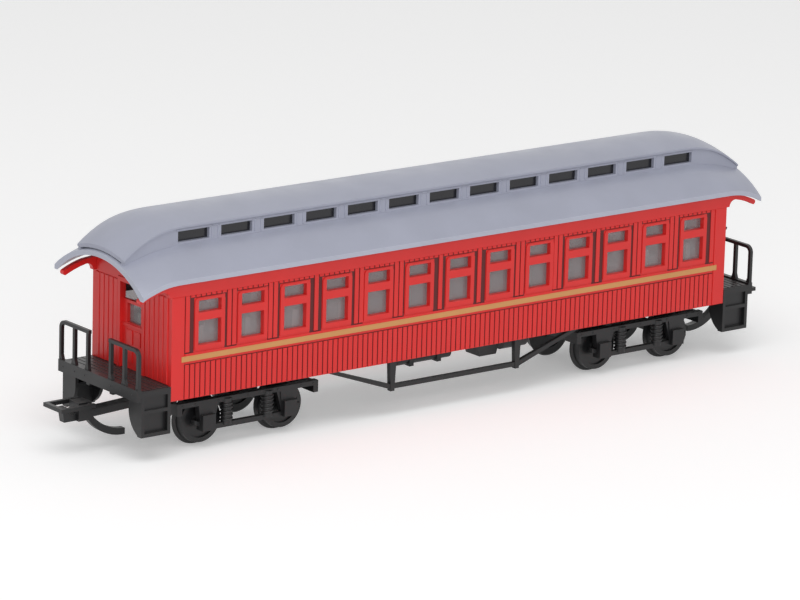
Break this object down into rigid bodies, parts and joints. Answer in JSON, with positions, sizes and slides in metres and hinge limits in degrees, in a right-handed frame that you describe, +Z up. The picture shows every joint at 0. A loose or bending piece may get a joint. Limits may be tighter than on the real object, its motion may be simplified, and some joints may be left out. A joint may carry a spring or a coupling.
{
  "type": "scale model railway passenger carriage",
  "caption": "Small-scale model of a red wooden railway passenger carriage with a grey clerestory roof, open railed end platforms and two swivelling four-wheel bogies.",
  "frame": {"origin": "middle of the carriage on the floor under the wheel flanges", "axes": "+X along the carriage towards the end with the hand brake, +Y to its left, +Z up"},
  "size_m": [0.1984, 0.0342, 0.0518],
  "materials": {
    "red_body": "satin",
    "roof_grey": "satin",
    "belt_tan": "satin",
    "window_glazing": "clear moulding",
    "dark_glazing": "dark tinted",
    "wheel_black": "satin",
    "steel_weight": "rolled plate",
    "seat_pale": "satin",
    "pin_steel": "turned",
    "underframe_black": "satin"
  },
  "bodies": {
    "coach": {"air_reservoir": "underframe_black", "belt_rail_left": "belt_tan", "belt_rail_right": "belt_tan", "brake_cylinder": "underframe_black", "brake_staff": "underframe_black", "chassis": "underframe_black", "clerestory_glazing": "dark_glazing", "clerestory_wall_left": "roof_grey", "clerestory_wall_right": "roof_grey", "door_glass": "window_glazing", "end_door_front": "red_body", "end_door_rear": "red_body", "end_wall_front": "red_body", "end_wall_rear": "red_body", "equipment_box": "underframe_black", "floor_weight": "steel_weight", "lower_roof": "roof_grey", "pivot_head_front": "pin_steel", "pivot_head_rear": "pin_steel", "platform_front": "underframe_black", "platform_rear": "underframe_black", "railing_front_left": "underframe_black", "railing_front_right": "underframe_black", "railing_rear_left": "underframe_black", "railing_rear_right": "underframe_black", "seats": "seat_pale", "side_glazing_left": "window_glazing", "side_glazing_right": "window_glazing", "side_wall_left": "red_body", "side_wall_right": "red_body", "steps_front_left": "underframe_black", "steps_front_right": "underframe_black", "steps_rear_left": "underframe_black", "steps_rear_right": "underframe_black", "truss_rod_left": "underframe_black", "truss_rod_right": "underframe_black", "upper_roof": "roof_grey"},
    "front_bogie": {"bogie_frame_front": "underframe_black", "coupler_arm_front": "underframe_black"},
    "front_loop": {"coupler_loop_front": "underframe_black"},
    "front_outer_wheels": {"wheelset_front_outer": "wheel_black"},
    "front_inner_wheels": {"wheelset_front_inner": "wheel_black"},
    "rear_bogie": {"bogie_frame_rear": "underframe_black", "coupler_arm_rear": "underframe_black"},
    "rear_loop": {"coupler_loop_rear": "underframe_black"},
    "rear_outer_wheels": {"wheelset_rear_outer": "wheel_black"},
    "rear_inner_wheels": {"wheelset_rear_inner": "wheel_black"}
  },
  "joints": [
    {"name": "front_bogie_swivel", "type": "hinge", "parent": "coach", "child": "front_bogie", "pos_m": [0.056, 0, 0.0111], "axis": [0, 0, 1], "range_deg": [-12, 12]},
    {"name": "front_loop_lift", "type": "hinge", "parent": "front_bogie", "child": "front_loop", "pos_m": [0.0912, 0, 0.0111], "axis": [0, -1, 0], "range_deg": [0, 20]},
    {"name": "front_outer_wheels_turn", "type": "hinge", "parent": "front_bogie", "child": "front_outer_wheels", "pos_m": [0.067, 0, 0.00605], "axis": [0, 1, 0], "continuous": true},
    {"name": "front_inner_wheels_turn", "type": "hinge", "parent": "front_bogie", "child": "front_inner_wheels", "pos_m": [0.045, 0, 0.00605], "axis": [0, 1, 0], "continuous": true},
    {"name": "rear_bogie_swivel", "type": "hinge", "parent": "coach", "child": "rear_bogie", "pos_m": [-0.056, 0, 0.0111], "axis": [0, 0, 1], "range_deg": [-12, 12]},
    {"name": "rear_loop_lift", "type": "hinge", "parent": "rear_bogie", "child": "rear_loop", "pos_m": [-0.0912, 0, 0.0111], "axis": [0, 1, 0], "range_deg": [0, 20]},
    {"name": "rear_outer_wheels_turn", "type": "hinge", "parent": "rear_bogie", "child": "rear_outer_wheels", "pos_m": [-0.067, 0, 0.00605], "axis": [0, 1, 0], "continuous": true},
    {"name": "rear_inner_wheels_turn", "type": "hinge", "parent": "rear_bogie", "child": "rear_inner_wheels", "pos_m": [-0.045, 0, 0.00605], "axis": [0, 1, 0], "continuous": true}
  ]
}
